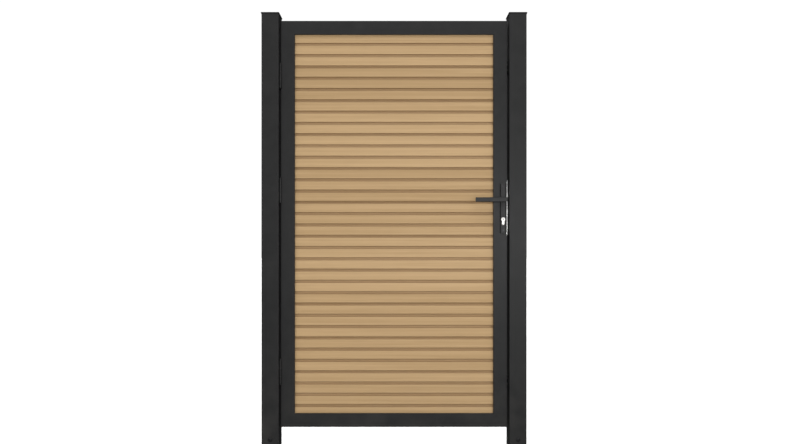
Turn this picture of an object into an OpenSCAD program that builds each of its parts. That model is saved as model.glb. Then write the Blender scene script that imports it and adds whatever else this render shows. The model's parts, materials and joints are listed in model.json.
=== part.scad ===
// Garden gate: a boarded leaf in a metal frame, hung on three hinges between two posts,
// with a mortice lock, a key cylinder and a lever handle on each side.
// Millimetres. +Z is up, the front faces -Y, and the hinges are on the -X side.
// The origin is on the ground, midway between the posts and at half their depth.

/* [Leaf] */
// Width of the leaf
leaf_w = 1000; // [700:10:1250]
// Height of the leaf
leaf_h = 1800; // [1200:10:2160]
// Height of the leaf's lower edge above the ground
ground_gap = 125; // [80:5:175]
// Gap between the leaf and each post
side_gap = 8; // [6.5:0.5:12]

/* [Leaf frame] */
// Width of the frame profile as seen from the front
frame_face = 60; // [50:1:80]
// Depth of the frame profile
frame_d = 40; // [34:1:60]
// Wall of the frame profile
frame_wall = 2.5; // [2:0.1:3.5]
// Depth of the channel that holds the boards
channel_depth = 12; // [11:0.5:16]
// Wall between the channel and the hollow lip beside it
lip_wall = 2; // [1.5:0.1:2.5]
// Length of each arm of the corner cleats, from the corner of the leaf
cleat_arm = 105; // [90:5:140]

/* [Boards] */
// Thickness of the boards
board_t = 20; // [16:0.5:24]
// Distance from one groove to the next
strip_pitch = 50.2; // [40:0.1:60]
// Strips on each board
strips_per_board = 3; // [3:1:4]
// Width of the grooves between the strips
groove_w = 13; // [8:0.5:16]
// Depth of the grooves
groove_depth = 6; // [4:0.5:7]
// Length of board that each side of the channel holds
board_bite = 9; // [8:0.5:10.5]
// Thickness of the tongue that joins two boards
tongue_t = 5; // [4:0.5:6]
// Length of the tongue
tongue_l = 8; // [6:0.5:10]

/* [Posts] */
// Side of the square posts
post_s = 76; // [66:1:120]
// Wall of the posts
post_wall = 3; // [2:0.5:4]
// Height of the post tubes above the leaf
post_over = 27; // [10:1:60]
// Thickness of the post caps
cap_t = 5; // [3:0.5:10]
// Overhang of the caps past the posts
cap_lip = 2.5; // [1:0.5:6]
// Depth of the ring under each cap
cap_skirt = 25; // [15:1:40]
// Side of the square foot plates
foot_s = 160; // [150:5:220]
// Thickness of the foot plates
foot_t = 8; // [6:1:15]
// Distance between the anchor holes
foot_pitch = 120; // [115:1:180]
// Diameter of the anchor holes
foot_hole_d = 11; // [9:0.5:14]
// Height of the spigot that each post slides over
spigot_h = 145; // [100:5:200]
// Wall of the spigot
spigot_wall = 5; // [4:0.5:8]
// Height of the post screws above the ground
foot_screw_z = 74; // [40:1:90]
// Diameter of the post screws
foot_screw_d = 10; // [8:1:12]
// Head diameter of the post screws
foot_head_d = 20; // [16:1:22]

/* [Hinges] */
// Height of each hinge
hinge_h = 108; // [90:2:140]
// Thickness of the hinge plates
hinge_plate_t = 3; // [2.5:0.1:3.5]
// Depth of the hinge plates behind the hinge axis
hinge_flap = 37; // [34:1:40]
// Distance of the top and bottom hinges from the ends of the leaf
hinge_inset = 245; // [150:5:350]
// Distance of the middle hinge below the top hinge
hinge_mid_drop = 507; // [300:1:650]
// Diameter of the hinge pins
hinge_pin_d = 6; // [5:0.1:6.5]

/* [Lock] */
// Height of the handle spindle above the lower edge of the leaf
spindle_h = 1005; // [800:5:1100]
// Distance of the spindle from the edge of the leaf
lock_inset = 18; // [17:0.5:20]
// Distance of the key cylinder below the spindle
key_drop = 85; // [80:1:92]
// Height of the lock forend
forend_h = 245; // [240:1:280]
// Width of the lock forend
forend_w = 24; // [20:1:30]
// Thickness of the lock forend
forend_t = 3; // [2:0.5:3.5]
// Height of the forend above the spindle
forend_up = 89; // [85:1:105]
// Depth of the lock case behind the edge of the leaf
case_depth = 43; // [42:0.5:45]
// Thickness of the lock case
case_t = 16; // [14:0.5:18]
// Wall of the lock case
case_wall = 1.5; // [1:0.25:2]
// Height of the latch bolt
latch_h = 20; // [16:1:22]
// Thickness of the latch bolt
latch_t = 11; // [10:0.5:12]
// Height of the middle of the latch above the spindle
latch_up = 25.5; // [25:0.5:30]
// Distance that the latch stands out of the forend
latch_throw = 11.5; // [9:0.5:12]
// Height of the dead bolt
bolt_h = 28; // [22:1:32]
// Thickness of the dead bolt
bolt_t = 10; // [8:0.5:11]
// Distance that the dead bolt stands out of the forend
bolt_throw = 20; // [15:0.5:20]
// Thickness of the keep on the lock post
keep_t = 2.5; // [1.5:0.5:3]

/* [Handles] */
// Width of the backplates
plate_w = 24; // [24:1:30]
// Height of the backplates
plate_h = 220; // [210:1:240]
// Thickness of the backplates
plate_t = 8; // [6:0.5:10]
// Height of the backplates above the spindle
plate_up = 73; // [66:1:85]
// Distance from the spindle to the tip of the lever
lever_l = 126; // [100:1:150]
// Height of the lever
lever_h = 20; // [16:1:24]
// Thickness of the lever
lever_t = 10; // [8:0.5:14]
// Distance from the leaf to the front of the lever
lever_reach = 48; // [40:1:65]
// Diameter of the lever's neck
neck_d = 18; // [16:0.5:19]
// Side of the square spindle
spindle_s = 8; // [7:0.5:9]

/* [Key cylinder] */
// Length of the cylinder on each side of the middle of the leaf
cylinder_half = 30; // [30:1:45]
// Diameter of the round part of the cylinder
cylinder_d = 17; // [16:0.5:18]
// Width of the stem under the round part
stem_w = 10; // [9:0.5:11]
// Height of the whole cylinder
cylinder_h = 33; // [32:0.5:34]
// Diameter of the plug that the key turns
plug_d = 13; // [12:0.5:14]

/* [Clearances] */
// Radial clearance of the pieces that turn
turn_clear = 0.05; // [0.02:0.01:0.1]
// Clearance of the pieces that slide
slide_clear = 0.2; // [0.1:0.05:0.4]
// Clearance of the pieces that are pushed together
fit_clear = 0.3; // [0.1:0.05:0.5]

/* [Hidden] */
$fn = 64;

// Planes of the leaf and of the posts
leaf_x = leaf_w / 2;
leaf_bottom = ground_gap;
leaf_top = ground_gap + leaf_h;
leaf_face = frame_d / 2;
post_x = leaf_x + side_gap;
post_mid = post_x + post_s / 2;
post_top = leaf_top + post_over;

// Frame profile
chamber_w = frame_face - channel_depth - 2 * frame_wall;
chamber_d = frame_d - 2 * frame_wall;
channel_w = board_t + 2 * fit_clear;
lip_hollow = (frame_d - channel_w) / 2 - frame_wall - lip_wall;

// Boards, counted from the top; the last one is ripped to fit
board_cover = strip_pitch * strips_per_board;
boards_top = leaf_top - frame_face + board_bite;
boards_bottom = leaf_bottom + frame_face - channel_depth;
board_l = leaf_w - 2 * frame_face + 2 * board_bite;
board_count = ceil((boards_top - boards_bottom) / board_cover);
groove_draft = 1;
tongue_y = groove_depth / 2;

// Feet
spigot_s = post_s - 2 * post_wall - 2 * fit_clear;
foot_screw_l = 18;
foot_head_t = 4;

// Hinges: the leaf's plate ends on the axis, and the barrel just clears the leaf
barrel_r = side_gap - hinge_plate_t;
hinge_x = -leaf_x - hinge_plate_t;
hinge_y = -leaf_face - barrel_r;
hinge_top_z = leaf_top - hinge_inset;
hinge_z = [hinge_top_z, hinge_top_z - hinge_mid_drop, leaf_bottom + hinge_inset];
washer_t = 1.5;
washer_gap = washer_t + 2 * slide_clear;
knuckle_h = (hinge_h - 2 * washer_gap) / 3;
pin_head_d = hinge_pin_d + 2.5;
pin_head_t = 2;
knuckle_clear = 0.6;

// Wood and metal screws, all of one size, and their places on the hinge plates
screw_d = 5;
screw_head_d = 9.2;
screw_head_t = 2.2;
screw_l = 14;
hinge_screw_y = [hinge_flap - 8, hinge_flap - 21];
hinge_screw_z = [-hinge_h / 3, hinge_h / 3];

// Lock: the spindle and the key turn about axes through these points
lock_x = leaf_x - lock_inset;
spindle_z = leaf_bottom + spindle_h;
key_z = spindle_z - key_drop;
forend_top = spindle_z + forend_up;
forend_bottom = forend_top - forend_h;
forend_face = leaf_x + forend_t;
forend_screw_inset = 8;
case_back = leaf_x - case_depth;
case_inside = case_t - 2 * case_wall;
latch_z = spindle_z + latch_up;
latch_top = latch_z + latch_h / 2;
case_top = latch_top + 9.5;
cylinder_drop = cylinder_h - cylinder_d / 2;
case_bottom = key_z - cylinder_drop - 7.5;

// Latch: a head in the forend, and a tail with a hook that the follower pulls
latch_shoulder = 5;
hook_gap = 5.4;
hook_t = 3;
hook_drop = 13;
tail_h = 11;
tail_x = lock_x - hook_gap - hook_t;
spring_d = 6.6;
spring_wire = 0.9;
spring_turns = 8;
spring_bore_d = spring_d + 0.8;
spring_z = latch_top - tail_h / 2;
spring_end = forend_face - 7;
case_inner_x = case_back + case_wall;

// Follower: a hub on the spindle, with an arm behind the hook
follower_d = 24;
follower_boss_d = 18;
follower_arm_w = 6;
follower_arm_l = 22;

// Dead bolt above the sweep of the key cylinder's cam
cam_d = 15;
cam_reach = 14;
cam_tooth_w = 5;
cam_t = 10;
cam_clear = 1;
bolt_bottom = key_z + cam_reach + cam_clear;
bolt_z = bolt_bottom + bolt_h / 2;
bolt_tail = case_inner_x + bolt_throw + 1;
stem_screw_drop = 20;
keyway_w = 2.4;
keyway_h = 8;
keyway_depth = 22;

// Handles
neck_end = leaf_face + lever_reach - lever_t;
plate_face = leaf_face + plate_t;
plate_top = spindle_z + plate_up;
plate_bottom = plate_top - plate_h;
plate_round = 3;
plate_bevel = 2.5;
plate_screw_z = [plate_top - 9, plate_bottom + 14];
lever_back = 12;
lever_round = 2.5;
socket_end = neck_end + 2;
grub_d = 5;
grub_y = (plate_face + neck_end) / 2;
sleeve_d = 7;

// Keep and stops on the lock post
keep_margin = 2;
stop_h = 50;
stop_z = [leaf_top - 200, leaf_bottom + 200];
stop_lap = 22;
stop_t = 3;
buffer_t = 3;
stop_y = leaf_face + fit_clear + buffer_t;
stop_front = -10;

BOARDS = [for (i = [1:board_count]) str("board_", i)];
ROOT_NODES = [
  "hinge_post", "lock_post", "hinge_post_cap", "lock_post_cap",
  "hinge_post_foot", "lock_post_foot", "foot_screws",
  "top_hinge_post_plate", "middle_hinge_post_plate", "bottom_hinge_post_plate",
  "hinge_pins", "hinge_post_screws", "keep", "stop_brackets", "stop_buffers",
  "lock_post_screws",
];
LEAF_NODES = [
  "hinge_stile", "lock_stile", "top_rail", "bottom_rail", "corner_cleats",
  "top_hinge_leaf_plate", "middle_hinge_leaf_plate", "bottom_hinge_leaf_plate",
  "hinge_leaf_screws", "hinge_washers",
  "lock_case", "lock_case_cover", "lock_forend", "forend_screws",
  "front_backplate", "rear_backplate", "backplate_screws",
  "cylinder_body", "cylinder_screw", "latch_spring",
];
MOVING_NODES = [
  "front_lever", "rear_lever", "spindle", "follower", "lever_grub_screws",
  "latch_bolt", "dead_bolt", "front_plug", "rear_plug", "cylinder_cam",
];

COAT = [0.20, 0.20, 0.21];
CAP = [0.07, 0.07, 0.07];
OAK = [0.72, 0.60, 0.45];
STEEL = [0.78, 0.78, 0.77];
ZINC = [0.60, 0.61, 0.62];
NICKEL = [0.86, 0.85, 0.82];
NYLON = [0.16, 0.16, 0.16];
RUBBER = [0.06, 0.06, 0.06];

// ---------------------------------------------------------------- helpers

// A flat shape drawn in X and Z, extruded both ways along Y
module along_y(length) {
  rotate([90, 0, 0])
    linear_extrude(length, center = true)
      children();
}

// A flat shape drawn in Y and Z, extruded both ways along X
module along_x(length) {
  rotate([90, 0, 90])
    linear_extrude(length, center = true)
      children();
}

// A round rod along Y, from one place to another
module rod_y(d, from, to) {
  translate([0, from, 0])
    rotate([-90, 0, 0])
      cylinder(d = d, h = to - from);
}

// A round rod along X, from one place to another
module rod_x(d, from, to) {
  translate([from, 0, 0])
    rotate([0, 90, 0])
      cylinder(d = d, h = to - from);
}

// A rectangle with round corners, about its middle
module rounded(w, h, r) {
  square([w - 2 * r, h], center = true);
  square([w, h - 2 * r], center = true);
  for (x = [-1, 1], y = [-1, 1])
    translate([x * (w / 2 - r), y * (h / 2 - r)])
      circle(r);
}

// A square tube standing on the ground plane
module square_tube(side, wall, height) {
  difference() {
    translate([-side / 2, -side / 2, 0])
      cube([side, side, height]);
    translate([wall - side / 2, wall - side / 2, -1])
      cube([side - 2 * wall, side - 2 * wall, height + 2]);
  }
}

// A countersunk screw that points down, with its head's face at height 0
module screw(length, grow = 0) {
  translate([0, 0, -screw_head_t])
    cylinder(d1 = screw_d + 2 * grow, d2 = screw_head_d + 2 * grow, h = screw_head_t);
  translate([0, 0, -length])
    cylinder(d = screw_d + 2 * grow, h = length - screw_head_t + 0.1);
}

// A screw whose head has a cross recess for the driver
module driven_screw(length) {
  difference() {
    screw(length);
    for (turn = [0, 90])
      rotate([0, 0, turn])
        translate([-2.4, -0.5, -1.4])
          cube([4.8, 1, 2]);
  }
}

// The hole that a screw sits in
module screw_hole(length) {
  screw(length + 1, turn_clear);
  cylinder(d = screw_head_d + 2 * turn_clear, h = 1);
}

// Screws that point left or right, towards the post or into the leaf
module facing_right() {
  rotate([0, 90, 0])
    children();
}

module facing_left() {
  rotate([0, -90, 0])
    children();
}

// ---------------------------------------------------------------- posts

module foot_screw_places() {
  for (side = [0, 180])
    rotate([0, 0, side])
      translate([0, -post_s / 2, foot_screw_z])
        rotate([90, 0, 0])
          children();
}

module post_tube() {
  difference() {
    translate([0, 0, foot_t])
      square_tube(post_s, post_wall, post_top - foot_t);
    foot_screw_places()
      translate([0, 0, -2 * post_wall])
        cylinder(d = foot_screw_d + 1, h = 3 * post_wall);
  }
}

module hinge_post() {
  color(COAT)
    difference() {
      translate([-post_mid, 0, 0])
        post_tube();
      hinge_post_screw_places()
        screw_hole(screw_l);
    }
}

module lock_post() {
  color(COAT)
    difference() {
      translate([post_mid, 0, 0])
        post_tube();
      translate([post_x, 0, 0]) {
        keep_opening(latch_z, latch_h, latch_t, 2 * keep_margin + 1);
        keep_opening(bolt_z, bolt_h, bolt_t, 2 * keep_margin + 1);
      }
      lock_post_screw_places()
        screw_hole(screw_l);
    }
}

// A square cap with a ring that pushes into the post
module post_cap() {
  ring_s = post_s - 2 * post_wall - 2 * fit_clear;
  cap_s = post_s + 2 * cap_lip;
  edge = 1;
  translate([0, 0, post_top]) {
    linear_extrude(cap_t - edge)
      rounded(cap_s, cap_s, 2);
    translate([0, 0, cap_t - edge])
      linear_extrude(edge)
        rounded(cap_s - 2 * edge, cap_s - 2 * edge, 2);
    translate([0, 0, -cap_skirt])
      square_tube(ring_s, 3, cap_skirt + 0.5);
  }
}

module hinge_post_cap() {
  color(CAP)
    translate([-post_mid, 0, 0])
      post_cap();
}

module lock_post_cap() {
  color(CAP)
    translate([post_mid, 0, 0])
      post_cap();
}

// A foot plate with a welded spigot that the post slides over
module post_foot() {
  difference() {
    union() {
      linear_extrude(foot_t)
        rounded(foot_s, foot_s, 8);
      translate([0, 0, foot_t - 1])
        square_tube(spigot_s, spigot_wall, spigot_h + 1);
    }
    for (x = [-1, 1], y = [-1, 1])
      translate([x * foot_pitch / 2, y * foot_pitch / 2, -1])
        cylinder(d = foot_hole_d, h = foot_t + 2);
    foot_screw_places()
      translate([0, 0, -2 * spigot_wall - post_wall])
        cylinder(d = foot_screw_d + 2 * turn_clear, h = 3 * spigot_wall);
  }
}

module hinge_post_foot() {
  color(ZINC)
    translate([-post_mid, 0, 0])
      post_foot();
}

module lock_post_foot() {
  color(ZINC)
    translate([post_mid, 0, 0])
      post_foot();
}

// A button-head screw with a hexagon socket, pointing down from height 0
module foot_screw() {
  difference() {
    union() {
      cylinder(d = foot_head_d, h = 1.5);
      cylinder(d1 = foot_head_d, d2 = foot_head_d * 0.55, h = foot_head_t);
      translate([0, 0, -foot_screw_l])
        cylinder(d = foot_screw_d, h = foot_screw_l + 1);
    }
    translate([0, 0, 1])
      cylinder(d = 7, h = foot_head_t, $fn = 6);
  }
}

module foot_screws() {
  color(CAP)
    for (x = [-post_mid, post_mid])
      translate([x, 0, 0])
        foot_screw_places()
          foot_screw();
}

// ---------------------------------------------------------------- leaf frame

// Section of the frame: its outer edge is at 0 and its channel faces right
module frame_profile() {
  difference() {
    translate([0, -frame_d / 2])
      square([frame_face, frame_d]);
    translate([frame_wall, -chamber_d / 2])
      square([chamber_w, chamber_d]);
    translate([frame_face - channel_depth, -channel_w / 2])
      square([channel_depth + 1, channel_w]);
    for (y = [channel_w / 2 + lip_wall, -channel_w / 2 - lip_wall - lip_hollow])
      translate([frame_face - channel_depth, y])
        square([channel_depth - lip_wall, lip_hollow]);
  }
}

// A length of frame that stands upright, with both ends cut at 45 degrees
module frame_member(length) {
  over = 1;
  inner = frame_face + over;
  intersection() {
    linear_extrude(length)
      frame_profile();
    along_y(2 * frame_d)
      polygon([
        [-over, -over],
        [inner, inner],
        [inner, length - inner],
        [-over, length + over],
      ]);
  }
}

module hinge_stile() {
  color(COAT)
    difference() {
      translate([-leaf_x, 0, leaf_bottom])
        frame_member(leaf_h);
      hinge_leaf_screw_places()
        screw_hole(screw_l);
    }
}

module lock_stile() {
  pocket_h = case_top - case_bottom + 2 * fit_clear;
  color(COAT)
    difference() {
      translate([leaf_x, 0, leaf_bottom])
        mirror([1, 0, 0])
          frame_member(leaf_h);
      translate([leaf_x - 2 * frame_wall, -case_t / 2 - fit_clear, case_bottom - fit_clear])
        cube([3 * frame_wall, case_t + 2 * fit_clear, pocket_h]);
      translate([lock_x, 0, spindle_z])
        rod_y(neck_d + 4, -frame_d, frame_d);
      translate([lock_x, 0, key_z])
        along_y(2 * frame_d)
          euro_profile(fit_clear);
      backplate_screw_places()
        rod_y(sleeve_d + 2 * fit_clear, -frame_d, frame_d);
      forend_screw_places()
        screw_hole(screw_l);
    }
}

module top_rail() {
  color(COAT)
    translate([-leaf_x, 0, leaf_top])
      rotate([0, 90, 0])
        frame_member(leaf_w);
}

module bottom_rail() {
  color(COAT)
    translate([leaf_x, 0, leaf_bottom])
      rotate([0, -90, 0])
        frame_member(leaf_w);
}

// An angle that fills the chambers of two frame members at a corner
module corner_cleat() {
  near = frame_wall + slide_clear;
  width = chamber_w - 2 * slide_clear;
  far = near + width;
  rib = 8;
  window = [width - 2 * rib, cleat_arm - far - 2 * rib];
  along_y(chamber_d - 2 * slide_clear)
    difference() {
      polygon([
        [near, near],
        [cleat_arm, near],
        [cleat_arm, far],
        [far, far],
        [far, cleat_arm],
        [near, cleat_arm],
      ]);
      translate([near + rib, far + rib])
        square(window);
      translate([far + rib, near + rib])
        square([window[1], window[0]]);
      translate([near + rib, near + rib])
        square([window[0], window[0]]);
    }
}

module corner_cleats() {
  color(ZINC)
    for (x = [0, 1], z = [0, 1])
      translate([(2 * x - 1) * leaf_x, 0, leaf_bottom + z * leaf_h])
        mirror([x, 0, 0])
          mirror([0, 0, z])
            corner_cleat();
}

// ---------------------------------------------------------------- boards

// One groove between two strips, wider at its mouth
module board_groove() {
  face = -board_t / 2;
  floor_y = face + groove_depth;
  half = groove_w / 2;
  polygon([
    [face - 1, -half],
    [face, -half],
    [floor_y, groove_draft - half],
    [floor_y, half - groove_draft],
    [face, half],
    [face - 1, half],
  ]);
}

// Section of a board in Y and Z. The first board has lost its tongue, and the last
// one its slot, where they meet the rails.
module board_section(i) {
  top = boards_top - (i - 1) * board_cover;
  bottom = max(top - board_cover, boards_bottom);
  slot_t = tongue_t + 2 * slide_clear;
  difference() {
    union() {
      translate([-board_t / 2, bottom])
        square([board_t, top - bottom]);
      if (i > 1)
        translate([tongue_y - tongue_t / 2, top - 1])
          square([tongue_t, tongue_l + 1]);
    }
    for (k = [0:strips_per_board])
      translate([0, top - k * strip_pitch])
        board_groove();
    if (i < board_count)
      translate([tongue_y - slot_t / 2, bottom - 1])
        square([slot_t, tongue_l + 2]);
  }
}

module board(i) {
  color(OAK)
    along_x(board_l)
      board_section(i);
}

// ---------------------------------------------------------------- hinges

module hinge_place(i) {
  translate([hinge_x, hinge_y, hinge_z[i]])
    children();
}

module hinge_bore() {
  cylinder(d = hinge_pin_d + 2 * turn_clear, h = 2 * hinge_h, center = true);
}

// Room for the other half's knuckle, between two heights
module knuckle_room(low, high) {
  translate([-2 * barrel_r, -2 * barrel_r, low])
    cube([4 * barrel_r, 3 * barrel_r + knuckle_clear, high - low]);
}

// A barrel and a plate along the whole hinge; children cut away the other half's knuckles
module hinge_half(plate_x) {
  difference() {
    union() {
      cylinder(r = barrel_r, h = hinge_h, center = true);
      translate([plate_x, 0, -hinge_h / 2])
        cube([hinge_plate_t, hinge_flap, hinge_h]);
    }
    hinge_bore();
    children();
  }
}

module hinge_screw_grid() {
  for (y = hinge_screw_y, z = hinge_screw_z)
    translate([0, y, z])
      children();
}

module hinge_post_screw_places() {
  for (i = [0:2])
    hinge_place(i)
      translate([hinge_plate_t - barrel_r, 0, 0])
        hinge_screw_grid()
          facing_right()
            children();
}

module hinge_leaf_screw_places() {
  for (i = [0:2])
    hinge_place(i)
      hinge_screw_grid()
        facing_left()
          children();
}

// Half of a hinge on the post: the upper and lower knuckles
module hinge_post_plate(i) {
  joint = knuckle_h / 2 + washer_gap;
  color(COAT)
    difference() {
      hinge_place(i)
        hinge_half(-barrel_r)
          knuckle_room(-joint, joint);
      hinge_post_screw_places()
        screw_hole(screw_l);
    }
}

// Half of a hinge on the leaf: the middle knuckle
module hinge_leaf_plate(i) {
  joint = knuckle_h / 2;
  color(COAT)
    difference() {
      hinge_place(i)
        hinge_half(0) {
          knuckle_room(joint, hinge_h);
          knuckle_room(-hinge_h, -joint);
        }
      hinge_leaf_screw_places()
        screw_hole(screw_l);
    }
}

module hinge_pins() {
  color(ZINC)
    for (i = [0:2])
      hinge_place(i) {
        cylinder(d = hinge_pin_d, h = hinge_h, center = true);
        translate([0, 0, hinge_h / 2])
          cylinder(d = pin_head_d, h = pin_head_t);
        translate([0, 0, -hinge_h / 2 - pin_head_t])
          cylinder(d = pin_head_d, h = pin_head_t);
      }
}

module hinge_washers() {
  color(NYLON)
    for (i = [0:2], side = [-1, 1])
      hinge_place(i)
        translate([0, 0, side * (knuckle_h + washer_gap) / 2])
          difference() {
            cylinder(r = barrel_r, h = washer_t, center = true);
            hinge_bore();
          }
}

module hinge_post_screws() {
  color(ZINC)
    hinge_post_screw_places()
      driven_screw(screw_l);
}

module hinge_leaf_screws() {
  color(ZINC)
    hinge_leaf_screw_places()
      driven_screw(screw_l);
}

// ---------------------------------------------------------------- lock case

// Outline of a profile cylinder about its key axis, grown by a clearance
module euro_profile(grow = 0) {
  circle(d = cylinder_d + 2 * grow);
  translate([-stem_w / 2 - grow, stem_w / 2 - cylinder_drop])
    square([stem_w + 2 * grow, cylinder_drop - stem_w / 2]);
  translate([0, stem_w / 2 - cylinder_drop])
    circle(d = stem_w + 2 * grow);
}

// Holes for the follower and the key cylinder through the sides of the case
module case_side_holes() {
  translate([lock_x, 0, spindle_z])
    rod_y(follower_boss_d + 2 * turn_clear, -case_t, case_t);
  translate([lock_x, 0, key_z])
    along_y(2 * case_t)
      euro_profile(fit_clear);
}

// Tray that is open to the rear, where the cover closes it, and to the forend
module lock_case() {
  height = case_top - case_bottom;
  color(ZINC)
    difference() {
      translate([case_back, -case_t / 2, case_bottom])
        cube([case_depth, case_t - case_wall, height]);
      translate([case_inner_x, case_wall - case_t / 2, case_bottom + case_wall])
        cube([case_depth, case_t, height - 2 * case_wall]);
      case_side_holes();
    }
}

module lock_case_cover() {
  color(ZINC)
    difference() {
      translate([case_back, case_t / 2 - case_wall, case_bottom])
        cube([case_depth, case_wall, case_top - case_bottom]);
      case_side_holes();
    }
}

module forend_screw_places() {
  for (z = [forend_top - forend_screw_inset, forend_bottom + forend_screw_inset])
    translate([forend_face, 0, z])
      facing_right()
        children();
}

module cylinder_screw_place() {
  translate([forend_face, 0, key_z - stem_screw_drop])
    facing_right()
      children();
}

// Long plate on the edge of the leaf that both bolts pass through
module lock_forend() {
  color(STEEL)
    difference() {
      translate([leaf_x + forend_t / 2, 0, (forend_top + forend_bottom) / 2])
        along_x(forend_t)
          rounded(forend_w, forend_h, 2);
      translate([leaf_x, 0, latch_z])
        along_x(4 * forend_t)
          square([latch_t + 2 * slide_clear, latch_h + 2 * slide_clear], center = true);
      translate([leaf_x, 0, bolt_z])
        along_x(4 * forend_t)
          square([bolt_t + 2 * slide_clear, bolt_h + 2 * slide_clear], center = true);
      forend_screw_places()
        screw_hole(screw_l);
      cylinder_screw_place()
        screw_hole(screw_l);
    }
}

module forend_screws() {
  color(ZINC)
    forend_screw_places()
      driven_screw(screw_l);
}

module cylinder_screw() {
  color(ZINC)
    cylinder_screw_place()
      driven_screw(forend_t + lock_inset + stem_w / 2 - 1);
}

// Sprung latch with a slope on the side that meets the keep first
module latch_bolt() {
  tip = forend_face + latch_throw;
  slope = latch_throw - 0.5;
  shoulder = lock_x + latch_shoulder;
  color(NICKEL)
    difference() {
      union() {
        translate([0, 0, latch_z])
          linear_extrude(latch_h, center = true)
            polygon([
              [shoulder, -latch_t / 2],
              [tip, -latch_t / 2],
              [tip, 1.5 - latch_t / 2],
              [tip - slope, latch_t / 2],
              [shoulder, latch_t / 2],
            ]);
        translate([tail_x, -latch_t / 2, latch_top - tail_h])
          cube([shoulder - tail_x + 1, latch_t, tail_h]);
        translate([tail_x, -latch_t / 2, spindle_z + hook_drop])
          cube([hook_t, latch_t, latch_top - spindle_z - hook_drop - 1]);
      }
      translate([0, 0, spring_z])
        rod_x(spring_bore_d, tail_x - 1, spring_end);
    }
}

// Rings of a wire wound along X, and the faces between them
function spring_ring(step, steps) =
  let (turn = 360 * spring_turns * step / steps,
       r = (spring_d - spring_wire) / 2,
       from = case_inner_x + spring_wire / 2 + 0.1,
       to = spring_end - spring_wire / 2 - 0.1,
       x = from + (to - from) * step / steps)
  [for (k = [0:5])
    let (a = 60 * k, reach = r + spring_wire / 2 * cos(a))
    [x + spring_wire / 2 * sin(a), reach * cos(turn), reach * sin(turn)]];

module latch_spring() {
  steps = spring_turns * 12;
  rings = [for (s = [0:steps]) spring_ring(s, steps)];
  sides = [for (s = [0:steps - 1], k = [0:5])
    [6 * s + k, 6 * s + (k + 1) % 6, 6 * (s + 1) + (k + 1) % 6, 6 * (s + 1) + k]];
  ends = [[for (k = [5:-1:0]) k], [for (k = [0:5]) 6 * steps + k]];
  color(STEEL)
    translate([0, 0, spring_z])
      polyhedron([for (ring = rings, p = ring) p], concat(sides, ends), convexity = 10);
}

module dead_bolt() {
  length = forend_face + bolt_throw - bolt_tail;
  color(NICKEL)
    translate([bolt_tail + length / 2, 0, bolt_z])
      along_x(length)
        rounded(bolt_t, bolt_h, 1);
}

// Hub that the spindle turns, in the bores of the case and its cover
module follower() {
  body_t = case_inside - 2 * slide_clear;
  color(ZINC)
    translate([lock_x, 0, spindle_z])
      difference() {
        union() {
          rod_y(follower_boss_d, -case_t / 2, case_t / 2);
          rod_y(follower_d, -body_t / 2, body_t / 2);
          translate([-follower_arm_w / 2, -latch_t / 2, 0])
            cube([follower_arm_w, latch_t, follower_arm_l]);
        }
        along_y(2 * case_t)
          square(spindle_s + 2 * turn_clear, center = true);
      }
}

// ---------------------------------------------------------------- key cylinder

module cylinder_body() {
  slot_t = cam_t + 2 * fit_clear;
  slot_floor = cam_reach + cam_clear + 0.5;
  color(NICKEL)
    difference() {
      translate([lock_x, 0, key_z])
        difference() {
          along_y(2 * cylinder_half)
            euro_profile();
          rod_y(plug_d + 2 * turn_clear, -cylinder_half - 1, cylinder_half + 1);
          translate([-cylinder_d, -slot_t / 2, -slot_floor])
            cube([2 * cylinder_d, slot_t, 2 * cylinder_d]);
        }
      cylinder_screw_place()
        screw_hole(forend_t + lock_inset + stem_w);
    }
}

// A plug with a keyway, from the cam to the face of the cylinder
module plug(from, to) {
  difference() {
    rod_y(plug_d, from, to);
    translate([-keyway_w / 2, to - keyway_depth, -keyway_h / 2])
      cube([keyway_w, keyway_depth + 1, keyway_h]);
  }
}

module front_plug() {
  color(STEEL)
    translate([lock_x, 0, key_z])
      mirror([0, 1, 0])
        plug(cam_t / 2, cylinder_half - 0.2);
}

module rear_plug() {
  color(STEEL)
    translate([lock_x, 0, key_z])
      plug(cam_t / 2 + fit_clear, cylinder_half - 0.2);
}

// Ring with a tooth that throws the dead bolt
module cylinder_cam() {
  color(ZINC)
    translate([lock_x, 0, key_z]) {
      rod_y(cam_d, -cam_t / 2, cam_t / 2);
      rotate([0, 150, 0])
        translate([-cam_tooth_w / 2, -cam_t / 2, 0])
          cube([cam_tooth_w, cam_t, cam_reach]);
    }
}

// ---------------------------------------------------------------- handles

module backplate_screw_places() {
  for (z = plate_screw_z)
    translate([lock_x, 0, z])
      children();
}

// Long plate with bevelled edges, drawn for the front of the leaf
module backplate() {
  half = plate_w / 2;
  difference() {
    intersection() {
      translate([0, 0, plate_bottom])
        linear_extrude(plate_h)
          polygon([
            [-half, -leaf_face],
            [-half, plate_bevel - plate_face],
            [plate_bevel - half, -plate_face],
            [half - plate_bevel, -plate_face],
            [half, plate_bevel - plate_face],
            [half, -leaf_face],
          ]);
      translate([0, 0, plate_bottom + plate_h / 2])
        along_y(4 * plate_face)
          rounded(plate_w, plate_h, plate_round);
    }
    translate([0, 0, spindle_z])
      rod_y(neck_d + 2 * turn_clear, -2 * plate_face, 0);
    translate([0, 0, key_z])
      along_y(4 * plate_face)
        euro_profile(slide_clear);
    for (z = plate_screw_z)
      translate([0, -plate_face, z])
        rotate([90, 0, 0])
          screw_hole(2 * plate_t);
  }
}

// The rear plate is the same, with wider holes for the screws' sleeves
module front_backplate() {
  color(COAT)
    translate([lock_x, 0, 0])
      backplate();
}

module rear_backplate() {
  color(COAT)
    difference() {
      translate([lock_x, 0, 0])
        mirror([0, 1, 0])
          backplate();
      backplate_screw_places()
        rod_y(sleeve_d + 2 * turn_clear, 0, 2 * plate_face);
    }
}

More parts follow.
